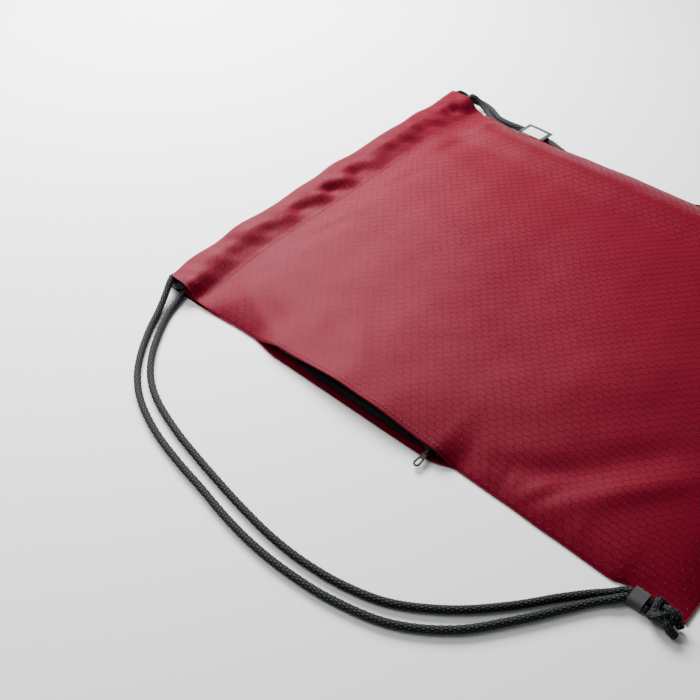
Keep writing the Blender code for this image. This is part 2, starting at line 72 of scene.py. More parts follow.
# ---------------------------------------------------------------- cloth shape
CLOTH = 0.00045                             # thickness
SEAM_Z = 0.0013                             # side seams above what the back panel lies on
PUFF = 0.0110                               # how far the front panel stands off the back panel
EDGE_LIFT = 0.0062                          # over the cords at the right
ROLL = 0.0016                               # radius of the turned edge at a seam
FRONT_EDGE_Z = 0.0010                       # the front panel never goes lower than this
LIP_RISE = 0.0088                           # the pocket's front lip over the length of the zip
LIP_GAPE = 0.0056                           # and its extra height in the middle
HEM_STITCH = 0.1925                         # stitch line of both hems
HEM_EDGE = 0.2262                           # mouth edge
HEM_BASE_END = 0.0040                       # height of the front hem's lower layer at each side
HEM_END_RISE = 0.0036                       # from the stitch line to the mouth, at each end of the front hem
HEM_BASE_MIDDLE = 0.0104
HEM_TOP = 0.0061                            # height of the front hem's channel
BACK_HEM_TOP = 0.0061
HEM_TUCK = 0.0005                           # the turned-in edge stops this far past the stitch line
EDGE_COLUMNS = (0, 0.0002, 0.0005, 0.0009, 0.0014, 0.0021, 0.0032, 0.0048, 0.0070)     # mesh lines beside a seam


def smooth(low, high, value):
    t = np.clip((value - low) / (high - low), 0.0, 1.0)
    return t * t * (3 - 2 * t)


def curve_through(points, value):
    """Smooth function of one variable through a few (position, value) points, in millimetres."""
    xs = np.array([p[0] for p in points]) * MM
    ys = np.array([p[1] for p in points]) * MM
    value = np.asarray(value, float)
    index = np.clip(np.searchsorted(xs, value) - 1, 0, len(xs) - 2)
    t = np.clip((value - xs[index]) / (xs[index + 1] - xs[index]), 0, 1)
    return ys[index] + (ys[index + 1] - ys[index]) * t * t * (3 - 2 * t)


# Side seams from the bottom to the mouth: y, x in mm.
LEFT_EDGE = ((-230, -176), (-191, -176.3), (-180, -179.4), (-135, -178), (-95, -176.5), (-50, -175.5), (0, -176),
             (100, -176), (142, -178.5), (185, -181), (230, -181.5))
RIGHT_EDGE = ((-230, 184), (-60, 183.5), (20, 182), (60, 179), (110, 175), (150, 173), (172, 174.5), (195, 182),
              (230, 183))


def lip_plateau(y):
    """1 along the pocket's opening, 0 away from it."""
    return smooth(-0.060, -0.038, y) * (1 - smooth(0.104, 0.138, y))


def lip_hump(y):
    """1 in the middle of the pocket's opening."""
    return smooth(-0.044, 0.025, y) * (1 - smooth(0.045, 0.106, y))


def left_edge(y, front):
    out = 0.0022 if front else 0.0062
    return curve_through(LEFT_EDGE, y) - out * lip_plateau(y)


def right_edge(y):
    return curve_through(RIGHT_EDGE, y)


def lift(x, y):
    """The back panel lies on the cords along its right side."""
    along = smooth(-0.120, -0.075, y) * (1 - smooth(0.176, 0.1915, y))
    return EDGE_LIFT * smooth(0.122, 0.158, x) * along


# Folds of the front panel: centre x, y and direction in degrees, then length, width and height, in mm.
FOLDS = (
    (-112, -134, -37, 62, 13, -3.4),        # long valley across the lower left
    (-150, -92, -58, 40, 9, -1.6),
    (-122, -157, -36, 56, 9, 2.6),          # the ridge after it
    (-60, -85, -38, 95, 30, 2.4),
    (-168, -62, 30, 12, 4.0, -1.2),         # puckers beside the low end of the zip
    (-169, -76, 26, 15, 4.0, 1.0),
    (-167, -90, 12, 13, 3.6, -1.0),
    (-163, -108, -22, 20, 4.0, 1.0),
    (-158, -120, -30, 16, 3.6, -0.8),
    (-166, -148, 8, 12, 5.0, 0.6),
    (-52, 184, -16, 34, 6.5, 1.8),          # folds that run from the hem into the panel
    (-60, 174, -18, 34, 7.0, -1.4),
    (-128, 184, -24, 20, 6.0, 1.0),
    (-134, 176, -24, 24, 7.0, -1.0),
    (28, 183, -10, 30, 7.5, 1.5),
    (34, 172, -12, 34, 8.0, -1.3),
    (118, 170, -18, 44, 12, -2.4),
    (100, 186, -8, 34, 7.0, 1.4),
    (-158, 150, 62, 22, 6.0, 1.0),
    (-156, 128, 58, 20, 6.0, -0.9),
    (-150, 96, 30, 26, 8.0, 0.9),
    (-140, 60, 40, 30, 8.0, 0.7),
    (60, 60, -62, 120, 34, 1.6),
    (120, -20, -70, 95, 26, -1.8),
    (150, 80, -80, 60, 12, 1.2),
    (158, -150, 55, 40, 10, 1.3),
    (-10, -200, 4, 90, 9, 1.2),
    (60, -190, 12, 60, 9, -1.3),
    (-60, -212, -6, 40, 6, 0.9),
    (30, -215, 3, 46, 6, 0.8),
    (10, 10, 30, 110, 40, -1.5),
)


def folds(x, y):
    total = np.zeros_like(x)
    for cx, cy, degrees, length, width, height in FOLDS:
        angle = math.radians(degrees)
        dx = x - cx * MM
        dy = y - cy * MM
        along = dx * math.cos(angle) + dy * math.sin(angle)
        across = -dx * math.sin(angle) + dy * math.cos(angle)
        total += height * MM * np.exp(-(along / (length * MM)) ** 2 - (across / (width * MM)) ** 2)
    return total


def make_waves(seed, count, shortest, longest):
    rng = np.random.RandomState(seed)
    waves = []
    for _ in range(count):
        length = math.exp(rng.uniform(math.log(shortest), math.log(longest)))
        waves.append((rng.uniform(0, math.pi), math.tau / length, rng.uniform(0, math.tau), length / longest))
    return waves


FINE_WAVES = make_waves(5, 16, 0.022, 0.070)
BACK_WAVES = make_waves(9, 14, 0.035, 0.110)


def wave_sum(waves, x, y):
    total = np.zeros_like(x)
    for angle, number, phase, size in waves:
        total += size * np.sin(number * (x * math.cos(angle) + y * math.sin(angle)) + phase)
    return total / math.sqrt(len(waves))


def rise(distance, reach):
    return 1 - np.exp(-np.maximum(distance, 0) / reach)


def puckers(along, distance, phase):
    """Small gathers where the cloth is sewn into a seam."""
    wave = np.sin(along / 0.0061 + phase) + 0.7 * np.sin(along / 0.0094 + 2.1 * phase + 1)
    strength = 0.5 + 0.5 * np.sin(along / 0.041 + phase * 3)
    return 0.00030 * wave * strength * np.exp(-np.abs(distance - 0.005) / 0.0075)


def rolled(distance):
    """How far the turned edge drops towards its seam."""
    d = np.clip(distance, 0, ROLL)
    return ROLL - np.sqrt(np.maximum(ROLL ** 2 - (ROLL - d) ** 2, 0))


def front_height(x, y):
    d_left = x - left_edge(y, True)
    d_right = right_edge(y) - x
    d_bottom = y - BOTTOM
    d_left, d_right, d_bottom = [np.maximum(d, 0) for d in (d_left, d_right, d_bottom)]
    hem_rise = smooth(0.164, 0.1905, y)
    hem_base = HEM_BASE_END + (HEM_BASE_MIDDLE - HEM_BASE_END) * smooth(0, 0.08, np.minimum(d_left, d_right))
    lip = LIP_RISE * lip_plateau(y) + LIP_GAPE * lip_hump(y)
    seam = SEAM_Z + lift(x, y) + lip * np.exp(-d_left / 0.045)
    puff = PUFF * rise(d_left, 0.017 + 0.02 * lip_plateau(y)) * rise(d_right, 0.020) * rise(d_bottom, 0.020)
    inside = rise(d_left, 0.012) * rise(d_right, 0.012) * rise(d_bottom, 0.012)
    calm = 1 - 0.8 * smooth(0.172, 0.190, y)
    body = seam + puff + (folds(x, y) + 0.00035 * wave_sum(FINE_WAVES, x, y)) * inside * calm
    body += puckers(y, d_left, 0.4) + puckers(y, d_right, 1.7) + puckers(x, d_bottom, 0.9)
    height = body * (1 - hem_rise) + hem_base * hem_rise
    closed = 1 - lip_plateau(y)
    roll_left = rolled(d_left) * (closed + 0.35 * (1 - closed))
    nearest = np.minimum(d_right, d_bottom)
    height = height - (roll_left + rolled(nearest)) * (1 - 0.9 * hem_rise)
    return np.maximum(height, lift(x, y) + FRONT_EDGE_Z)


def back_height(x, y):
    """Lower face of the back panel."""
    d_left = np.maximum(x - left_edge(y, False), 0)
    d_right = np.maximum(right_edge(y) - x, 0)
    d_bottom = np.maximum(y - BOTTOM, 0)
    nearest = np.minimum(np.minimum(d_left, d_right), d_bottom)
    ripple = 0.0006 * (1 + wave_sum(BACK_WAVES, x, y)) * smooth(0.004, 0.030, nearest)
    ripple *= 1 - smooth(0.170, 0.185, y)
    edge = 0.0009 * (1 - smooth(0, 0.0035, nearest)) * (1 - smooth(0.180, 0.190, y))
    return 0.0003 + lift(x, y) + np.maximum(ripple, 0) + edge


# ---------------------------------------------------------------- hems
def scallop(x):
    """Where the hem's cloth is pulled into a hollow between the cords and the stitch line."""
    phase = x / 0.0404 * math.tau + 2.1 + 0.9 * np.sin(x / 0.043 + 1) + 0.5 * np.sin(x / 0.017)
    return 0.5 + 0.5 * np.sin(phase) * (0.62 + 0.38 * np.sin(x / 0.031 + 2))


def hem_edge(x):
    """The mouth line: a little short of its middle at the left corner, where the cords gather it."""
    short = 0.0014 * (1 - smooth(0, 0.02, x - LEFT))
    return HEM_EDGE - short + 0.0007 * np.sin(x / 0.0090) + 0.0008 * np.sin(x / 0.0233 + 1)


def front_hem_base(x):
    from_end = np.minimum(x - LEFT, RIGHT - x)
    return front_height(x, np.full_like(x, HEM_STITCH)) + HEM_END_RISE * (1 - smooth(0, 0.05, from_end))


def front_hem_rows(x):
    """(y, z) arrays of the front hem's rows, from the stitch line out, round the mouth and back inside."""
    stitched = front_height(x, np.full_like(x, HEM_STITCH))
    outer = front_hem_base(x)               # the lower layer beyond the stitch line
    ends = smooth(0.003, 0.030, np.minimum(x - LEFT, RIGHT - x))
    hollow = scallop(x) * ends
    edge = hem_edge(x)
    top = HEM_TOP + ends * (0.0006 + 0.0006 * np.sin(x / 0.0145 + 2) + 0.0004 * np.sin(x / 0.0062))
    radius = (top + 0.0010) / 2
    round_y = edge - radius
    rows = []
    count = 15
    for index in range(1, count + 1):
        t = index / count
        y = HEM_STITCH + (round_y - HEM_STITCH) * t
        base = stitched + (outer - stitched) * smooth(0, 0.40, t)
        lean = 0.016 * t
        moved = scallop(x + lean) * ends
        tube = smooth(0.26 + 0.12 * moved, 0.72, t)
        full = smooth(0.02, 0.50, t)
        crease = 0.0010 * np.sin(x / 0.0064 + 4 * t + 3 * hollow) + 0.0006 * np.sin(x / 0.0031 + 6 * t)
        crease = (crease - 0.0002) * math.sin(math.pi * t) * ends
        wrinkle = 0.0008 * (1 + np.sin(x / 0.0021 + 7 * t)) + 0.0004 * (1 + np.sin(x / 0.0013 - 5 * t))
        near_end = np.exp(-np.minimum(x - LEFT, RIGHT - x) / 0.022)
        crease = crease + wrinkle * near_end * math.sin(math.pi * min(t, 0.8))
        profile = tube * moved + full * (1 - moved)
        rows.append((y, base + top * profile + crease * (0.4 + 0.6 * moved)))
    steps = 10
    for index in range(1, steps + 1):
        angle = math.pi / 2 - math.pi * index / steps
        rows.append((round_y + radius * math.cos(angle), outer + top - radius + radius * math.sin(angle)))
    back_steps = 8
    for index in range(1, back_steps + 1):
        t = index / back_steps
        rows.append((round_y + (HEM_STITCH + HEM_TUCK - round_y) * t, outer + (stitched - outer) * t - 0.0010))
    return rows


def back_hem_rows(x):
    """The same for the back hem, whose channel stands up from the surface the bag lies on."""
    base = back_height(x, np.full_like(x, HEM_STITCH))
    edge = hem_edge(x + 0.013) + 0.0012
    top = BACK_HEM_TOP + 0.0004 * np.sin(x / 0.0125 + 4)
    radius = top / 2
    round_y = edge - radius
    rows = []
    count = 10
    for index in range(1, count + 1):
        t = index / count
        rows.append((HEM_STITCH + (round_y - HEM_STITCH) * t, base))
    steps = 10
    for index in range(1, steps + 1):
        angle = -math.pi / 2 + math.pi * index / steps
        rows.append((round_y + radius * math.cos(angle), base + radius + radius * math.sin(angle)))
    back_steps = 12
    for index in range(1, back_steps + 1):
        t = index / back_steps
        y = round_y + (HEM_STITCH + HEM_TUCK - round_y) * t
        rows.append((y, base + 0.0009 + (top - 0.0009) * (1 - smooth(0.55, 0.98, t + 0 * x))))
    return rows


# ---------------------------------------------------------------- mesh helpers
def finish_object(name, mesh, mat):
    obj = bpy.data.objects.new(name, mesh)
    bpy.context.scene.collection.objects.link(obj)
    obj.data.materials.append(mat)
    mesh.shade_smooth()
    return obj


def mesh_object(name, verts, faces, mat, uv=None):
    mesh = bpy.data.meshes.new(name)
    mesh.from_pydata([tuple(v) for v in verts], [], faces)
    mesh.update()
    if uv is not None:
        layer = mesh.uv_layers.new(name="cloth")
        index = np.empty(len(mesh.loops), int)
        mesh.loops.foreach_get("vertex_index", index)
        layer.data.foreach_set("uv", np.asarray(uv, float)[index].ravel())
    return finish_object(name, mesh, mat)


def grid_faces(rows, columns, closed=False):
    faces = []
    wrap = columns if closed else columns - 1
    for r in range(rows - 1):
        for c in range(wrap):
            after = (c + 1) % columns
            faces.append((r * columns + c, r * columns + after, (r + 1) * columns + after, (r + 1) * columns + c))
    return faces


def thicken(obj, thickness):
    """Half of the thickness on each side of the mesh."""
    solid = obj.modifiers.new("thickness", "SOLIDIFY")
    solid.thickness = thickness
    solid.offset = 0.0


def ride_bag(obj, slot, *nodes):
    """Put a piece on the bag's body, in place of the CAD nodes named, which are hidden."""
    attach(obj, BAG)
    if nodes:
        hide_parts(*nodes)
    return obj


# ---------------------------------------------------------------- materials
class Nodes:
    """A material's node tree, with short calls for what the materials here repeat."""

    def __init__(self, name):
        self.material = bpy.data.materials.new(name)
        self.material.use_nodes = True
        self.tree = self.material.node_tree
        self.shader = self.tree.nodes["Principled BSDF"]

    def node(self, kind, **inputs):
        node = self.tree.nodes.new(kind)
        for key, value in inputs.items():
            self.put(node.inputs[key.replace("_", " ")], value)
        return node

    def put(self, socket, value):
        if isinstance(value, bpy.types.NodeSocket):
            self.tree.links.new(value, socket)
        else:
            socket.default_value = value

    def math(self, operation, a, b=None):
        node = self.tree.nodes.new("ShaderNodeMath")
        node.operation = operation
        for socket, value in zip(node.inputs, (a, b)):
            if value is not None:
                self.put(socket, value)
        return node.outputs[0]

    def step(self, low, high, value):
        """0 at low to 1 at high, smoothly."""
        node = self.tree.nodes.new("ShaderNodeMapRange")
        node.interpolation_type = "SMOOTHSTEP"
        for key, item in (("Value", value), ("From Min", low), ("From Max", high)):
            self.put(node.inputs[key], item)
        return node.outputs[0]

    def mix(self, factor, a, b):
        node = self.tree.nodes.new("ShaderNodeMix")
        node.data_type = "RGBA"
        self.put(node.inputs[0], factor)
        self.put(node.inputs[6], a)
        self.put(node.inputs[7], b)
        return node.outputs[2]

    def uv_mm(self):
        """The two cloth coordinates, in millimetres."""
        uv = self.tree.nodes.new("ShaderNodeUVMap")
        uv.uv_map = "cloth"
        parts = self.node("ShaderNodeSeparateXYZ", Vector=uv.outputs[0])
        return [self.math("MULTIPLY", parts.outputs[axis], 1000.0) for axis in (0, 1)]

    def noise(self, scale, detail):
        """Noise on the object's own coordinates."""
        node = self.node("ShaderNodeTexNoise", Scale=scale, Detail=detail)
        self.put(node.inputs["Vector"], self.tree.nodes.new("ShaderNodeTexCoord").outputs["Object"])
        return node.outputs["Fac"]

    def bump(self, height, distance, strength=1.0):
        return self.node("ShaderNodeBump", Height=height, Distance=distance, Strength=strength).outputs[0]

    def finish(self, colour, roughness, normal=None, **fixed):
        self.put(self.shader.inputs["Base Color"], colour)
        self.put(self.shader.inputs["Roughness"], roughness)
        if normal is not None:
            self.put(self.shader.inputs["Normal"], normal)
        for key, value in fixed.items():
            self.shader.inputs[key.replace("_", " ")].default_value = value
        return self.material


CELL_LENGTH = 7.40                          # ripstop cells along their columns, millimetres
CELL_COLUMN = 4.605                         # between columns
CLOTH_THREAD = 0.42                         # repeat of the fine weave


def hexagon_distance(n, u, v):
    """0 in the middle of a ripstop cell, 0.5 on its outline."""
    v = n.math("DIVIDE", v, CELL_LENGTH)
    u = n.math("MULTIPLY", u, math.sqrt(3) / 2 / CELL_COLUMN)
    period = math.sqrt(3)
    candidates = []
    for shift in (0.0, 0.5):
        a = n.math("SUBTRACT", n.math("FLOORED_MODULO", n.math("ADD", u, period * (shift + 50)), period), period / 2)
        b = n.math("SUBTRACT", n.math("FLOORED_MODULO", n.math("ADD", v, shift + 50), 1.0), 0.5)
        a = n.math("ABSOLUTE", a)
        b = n.math("ABSOLUTE", b)
        slanted = n.math("ADD", n.math("MULTIPLY", a, math.sqrt(3) / 2), n.math("MULTIPLY", b, 0.5))
        candidates.append(n.math("MAXIMUM", slanted, b))
    return n.math("MINIMUM", *candidates)


def ripstop(name):
    """Honeycomb ripstop: smoother outlines, each with painted shade in a band beside it, fine plain weave, a darker
    middle in each cell.
    """
    n = Nodes(name)
    u, v = n.uv_mm()
    distance = hexagon_distance(n, u, v)
    line = n.step(0.455, 0.485, distance)
    # Mask of painted shade: a band beside each outline, to be darkened as if shade lay in a groove there.
    painted_groove_shade = n.math("SUBTRACT", n.step(0.375, 0.445, distance), line)
    centre = n.step(0.30, 0.0, distance)
    warp = n.math("SINE", n.math("MULTIPLY", u, math.tau / CLOTH_THREAD))
    weft = n.math("SINE", n.math("MULTIPLY", v, math.tau / CLOTH_THREAD))
    weave = n.math("MULTIPLY", warp, weft)
    cloud = n.noise(9.0, 3.0)
    cell_colour = n.mix(cloud, (0.100, 0.0001, 0.0078, 1), (0.122, 0.0003, 0.0100, 1))
    # Painted shade: the band beside each outline is darkened as if a groove shaded it.
    thread = n.mix(n.math("MULTIPLY", painted_groove_shade, 0.70), cell_colour, (0.040, 0.0001, 0.0032, 1))
    thread = n.mix(n.math("MULTIPLY", line, 0.75), thread, (0.085, 0.0006, 0.0080, 1))
    colour = n.mix(n.math("MULTIPLY", centre, 0.20), thread, (0.070, 0.0001, 0.0055, 1))
    roughness = n.math("SUBTRACT", 0.58, n.math("MULTIPLY", line, 0.30))
    height = n.math("ADD", n.math("MULTIPLY", line, 0.9), n.math("MULTIPLY", weave, 0.10))
    normal = n.bump(height, 0.00015)
    return n.finish(colour, roughness, normal, Sheen_Weight=0.12, Sheen_Roughness=0.35,
                    Sheen_Tint=(1.0, 0.30, 0.42, 1), Specular_IOR_Level=0.20, Specular_Tint=(1.0, 0.08, 0.20, 1))


def plain_weave(name, colour, pitch, roughness=0.85):
    """Fine plain weave on the cloth coordinates."""
    n = Nodes(name)
    u, v = n.uv_mm()
    warp = n.math("ABSOLUTE", n.math("SINE", n.math("MULTIPLY", u, math.pi / pitch)))
    weft = n.math("ABSOLUTE", n.math("SINE", n.math("MULTIPLY", v, math.pi / pitch)))
    weave = n.math("MAXIMUM", warp, weft)
    dark = tuple(c * 0.55 for c in colour[:3]) + (1,)
    tone = n.mix(weave, dark, colour)
    normal = n.bump(weave, 0.00010)
    return n.finish(tone, roughness, normal, Sheen_Weight=0.1)


def braid_material(name):
    """The relief is in the mesh: this adds the fine filaments, painted shade in the gaps and painted highlights on
    the strands' tops.
    """
    n = Nodes(name)
    u, v = n.uv_mm()
    filament = n.math("SINE", n.math("ADD", n.math("MULTIPLY", u, 21.0), n.math("MULTIPLY", v, 9.0)))
    shade = n.noise(420.0, 2.0)
    attribute = n.tree.nodes.new("ShaderNodeAttribute")
    attribute.attribute_name = "relief"
    # Painted highlights: the strands' tops are light grey with some random variation; painted shade, near black,
    # fills the gaps between them.
    tone = n.mix(shade, (0.056, 0.063, 0.068, 1), (0.118, 0.133, 0.142, 1))
    tone = n.mix(n.step(0.62, 1.0, attribute.outputs["Fac"]), (0.0030, 0.0035, 0.0038, 1), tone)
    normal = n.bump(filament, 0.00005, 0.6)
    return n.finish(tone, 0.60, normal, Specular_IOR_Level=0.15)


def lacquer(name, colour, roughness):
    """Smooth hard surface with faint handling marks."""
    n = Nodes(name)
    marks = n.noise(900.0, 3.0)
    rough = n.math("ADD", roughness, n.math("MULTIPLY", marks, 0.12))
    normal = n.bump(n.noise(260.0, 2.0), 0.00002)
    return n.finish(colour, rough, normal, Specular_IOR_Level=0.25)


def label_material(name, width, length):
    """White woven label with a dark border and a plain raised weave; it carries no mark.  Sizes in mm."""
    n = Nodes(name)
    u, v = n.uv_mm()
    border = 3.6
    fade = 0.25
    outer = n.step(width - border - fade, width - border + fade, u)
    low = n.step(border + fade, border - fade, v)
    high = n.step(length - border - fade, length - border + fade, v)
    edge = n.math("MAXIMUM", outer, n.math("MAXIMUM", low, high))
    warp = n.math("ABSOLUTE", n.math("SINE", n.math("MULTIPLY", u, math.pi / 0.22)))
    weft = n.math("ABSOLUTE", n.math("SINE", n.math("MULTIPLY", v, math.pi / 0.30)))
    weave = n.math("MAXIMUM", warp, weft)
    white = n.mix(weave, (0.56, 0.56, 0.54, 1), (0.76, 0.76, 0.74, 1))
    colour = n.mix(edge, white, (0.022, 0.024, 0.026, 1))
    return n.finish(colour, 0.6, n.bump(weave, 0.00006))


def webbing_material(name):
    """Ribbed narrow webbing, on object coordinates because its solid comes from the frame."""
    n = Nodes(name)
    place = n.tree.nodes.new("ShaderNodeTexCoord").outputs["Object"]
    parts = n.node("ShaderNodeSeparateXYZ", Vector=place)
    ribs = n.math("ABSOLUTE", n.math("SINE", n.math("MULTIPLY", parts.outputs[1], math.pi / 0.0009)))
    picks = n.math("ABSOLUTE", n.math("SINE", n.math("MULTIPLY", n.math("ADD", parts.outputs[0], parts.outputs[2]),
                                                     math.pi / 0.0005)))
    weave = n.math("ADD", n.math("MULTIPLY", ribs, 0.7), n.math("MULTIPLY", picks, 0.3))
    tone = n.mix(weave, (0.006, 0.006, 0.007, 1), (0.024, 0.024, 0.026, 1))
    return n.finish(tone, 0.75, n.bump(weave, 0.00015), Sheen_Weight=0.15)


def thread_material(name, colour):
    n = Nodes(name)
    twist = n.noise(2400.0, 1.0)
    tone = n.mix(twist, tuple(c * 0.6 for c in colour[:3]) + (1,), colour)
    return n.finish(tone, 0.55, n.bump(twist, 0.00004))


RED_CLOTH = ripstop("ripstop_red")
LINING = plain_weave("lining_black", (0.010, 0.010, 0.011, 1), 0.30)
TAPE = plain_weave("zip_tape_black", (0.014, 0.014, 0.015, 1), 0.45, 0.75)
COIL = lacquer("zip_coil_black", (0.010, 0.010, 0.011, 1), 0.30)
ZIP_METAL = lacquer("zip_metal_black", (0.003, 0.003, 0.0035, 1), 0.30)
WEBBING = webbing_material("webbing_black")
BRAID = braid_material("cord_charcoal")
RED_THREAD = thread_material("thread_red", (0.20, 0.008, 0.02, 1))
BLACK_THREAD = thread_material("thread_black", (0.02, 0.02, 0.021, 1))


# ---------------------------------------------------------------- panels
def edge_spacing(count, width):
    """Column positions from 0 to width, close together at both edges."""
    inner = np.linspace(EDGE_COLUMNS[-1], width - EDGE_COLUMNS[-1], count)[1:-1]
    return np.array([*EDGE_COLUMNS, *inner, *[width - d for d in reversed(EDGE_COLUMNS)]])


def build_panel(name, front):
    """One panel with its hem, as a sheet of lines across the bag; its v coordinate follows the cloth."""
    width = RIGHT - LEFT
    columns = edge_spacing(125, width)
    body = [BOTTOM + d for d in EDGE_COLUMNS]
    body += list(np.linspace(BOTTOM + EDGE_COLUMNS[-1], HEM_STITCH, 150)[1:])
    verts = []
    uv = []
    height = front_height if front else back_height
    inward = -CLOTH / 2 if front else CLOTH / 2
    run = 0.0
    last = None
    lines = []
    for y in body:
        ys = np.full_like(columns, y)
        left = left_edge(ys, front)
        x = left + (right_edge(ys) - left) * columns / width
        lines.append((x, ys, height(x, ys) + inward))
    x = lines[-1][0]
    for y, z in (front_hem_rows(x) if front else back_hem_rows(x)):
        lines.append((x, y + 0 * x, z + 0 * x + inward))
    middle = len(columns) // 2
    for x, y, z in lines:
        point = np.array([0.0, y[middle], z[middle]])
        if last is not None:
            in_body = len(verts) < len(body) * len(columns)
            run += abs(point[1] - last[1]) if in_body else np.linalg.norm(point - last)
        last = point
        verts.extend(np.stack([x, y, z], axis=1))
        uv.extend(np.stack([columns, np.full_like(columns, run)], axis=1))
    faces = grid_faces(len(lines), len(columns))
    if not front:
        faces = [tuple(reversed(face)) for face in faces]
    obj = mesh_object(name, verts, faces, RED_CLOTH, uv)
    thicken(obj, CLOTH)
    return ride_bag(obj, "ripstop", name.replace("_cloth", ""))


# ---------------------------------------------------------------- cords
CORD_DIAMETER = 0.005
CORD_R = CORD_DIAMETER / 2
# The free strands from the hem's end to the webbing loop.
STRAND_ROUTES_MM = {
    "cord_left_front_strand": (
        (-180, 221.4, 11.4), (-186, 218.6, 9.9), (-195, 213.5, 7.0), (-208, 206.5, 4.0), (-227, 196, 2.8),
        (-249, 180, 2.7), (-265, 164, 2.7), (-278, 144, 2.7), (-289, 116, 2.7), (-296, 86, 2.7),
        (-301, 56, 2.7), (-306, 28, 2.7), (-309, 0, 2.7), (-309, -30, 2.7), (-305, -64, 2.7),
        (-294, -100, 2.7), (-272, -131, 2.7), (-243, -154, 2.7), (-216, -172, 2.7), (-200, -183, 2.9),
        (-192.5, -189.8, 4.0), (-187.4, -193.8, 4.4), (-185.3, -197, 3.9)),
    "cord_left_back_strand": (
        (-182, 207.6, 3.6), (-190, 205.2, 3.1), (-206, 199, 2.7), (-226, 187, 2.7), (-244, 173, 2.7),
        (-259, 156, 2.7), (-270, 135, 2.7), (-279, 106, 2.7), (-285, 78, 2.7), (-290, 50, 2.7),
        (-294, 24, 2.7), (-297, -4, 2.7), (-297, -32, 2.7), (-293, -62, 2.7), (-283, -92, 2.7),
        (-262, -122, 2.7), (-237, -146, 2.7), (-213, -164.5, 2.7), (-198, -177, 2.7), (-188, -186.5, 2.8),
        (-182.2, -191.4, 3.1), (-179.6, -197, 3.7)),
    "cord_right_front_strand": (
        (188.9, 206.8, 11.0), (189.9, 203, 9.6), (190, 198.5, 7.6), (188.8, 192.5, 5.2),
        (186.4, 185.8, 3.7), (181.6, 178, 2.7), (178.2, 170, 2.7), (176.5, 160, 2.7), (173.5, 145, 2.7),
        (170, 128, 2.7), (167, 108, 2.7), (164.5, 80, 2.7), (163.5, 48, 2.7), (164, 20, 2.7),
        (167, -8, 2.7), (175, -33, 2.7), (190, -62, 2.7), (206, -90, 2.7), (216, -116, 2.7),
        (216, -138, 2.7), (207, -156, 2.7), (198, -168, 2.7), (191.6, -180, 3.2), (189.35, -190, 3.8)),
    "cord_right_back_strand": (
        (191.5, 220.3, 3.3), (195.5, 213.5, 2.7), (196.8, 204, 2.7), (196, 195, 2.7), (193.4, 186.5, 2.7),
        (189.3, 178.5, 2.7), (185.8, 171, 2.7), (184.9, 161, 2.7), (185.8, 150, 2.7), (186.6, 138, 2.7),
        (186.2, 124, 2.7), (184, 110, 2.7), (180, 96, 2.7), (175.5, 80, 2.7), (172.5, 58, 2.7),
        (171.5, 30, 2.7), (174, 2, 2.7), (182, -26, 2.7), (199, -56, 2.7), (218, -84, 2.7),
        (230, -112, 2.7), (230, -140, 2.7), (220, -163, 2.7), (206, -178, 2.7), (197.4, -187, 3.2),
        (194.85, -195, 3.8)),
}
STRAND_END_Y = -0.209                       # where the strands go into the knot
OUTER_RUN_Y = 0.222                         # the two cords inside each hem
INNER_RUN_Y = 0.208


def smooth_route(route, spacing):
    """Evenly spaced points on a Catmull-Rom curve through the route's own points."""
    route = [Vector(p) for p in route]
    ends = [2 * route[0] - route[1], *route, 2 * route[-1] - route[-2]]
    fine = []
    for before, start, end, after in zip(ends, ends[1:], ends[2:], ends[3:]):
        for step in range(16):
            t = step / 16
            fine.append(0.5 * (2 * start + (end - before) * t
                               + (2 * before - 5 * start + 4 * end - after) * t ** 2
                               + (3 * start - before - 3 * end + after) * t ** 3))
    fine.append(route[-1])
    fine = np.array(fine)
    lengths = np.concatenate([[0], np.cumsum(np.linalg.norm(np.diff(fine, axis=0), axis=1))])
    count = max(2, round(lengths[-1] / spacing))
    targets = np.linspace(0, lengths[-1], count + 1)
    return np.stack([np.interp(targets, lengths, fine[:, axis]) for axis in range(3)], axis=1)


def frames_along(path):
    """Two unit vectors across the path at each point, without twist."""
    tangents = np.gradient(path, axis=0)
    tangents /= np.linalg.norm(tangents, axis=1)[:, None]
    side = np.cross(tangents[0], (0, 0, 1))
    if np.linalg.norm(side) < 0.1:
        side = np.cross(tangents[0], (0, 1, 0))
    sides = []
    for tangent in tangents:
        side = side - tangent * side.dot(tangent)
        side /= np.linalg.norm(side)
        sides.append(side)
    sides = np.array(sides)
    return sides, np.cross(tangents, sides)


CARRIERS = 8                                # strands of the braid each way
BRAID_PITCH = 0.0104                        # two cells along the cord
RELIEF = 0.00060
RELIEF_SUNK = 0.55                          # part of the relief that lies inside the cord's radius
RELIEF_PROUD = 0.45


def braid_relief(angle, along):
    """Height of the braid, 0 in the gaps to 1 on the strands, which pass over and under each other in turn."""
    turn = angle / math.tau * CARRIERS
    u = turn + along / BRAID_PITCH * 2
    v = turn - along / BRAID_PITCH * 2
    cell = np.mod(np.floor(u) + np.floor(v), 2)
    wide = np.sin(math.pi * (u - np.floor(u)))
    high = np.sin(math.pi * (v - np.floor(v)))
    over_a = high ** 0.9 * wide ** 0.4
    over_b = wide ** 0.9 * high ** 0.4
    return np.where(cell < 0.5, over_a, over_b)


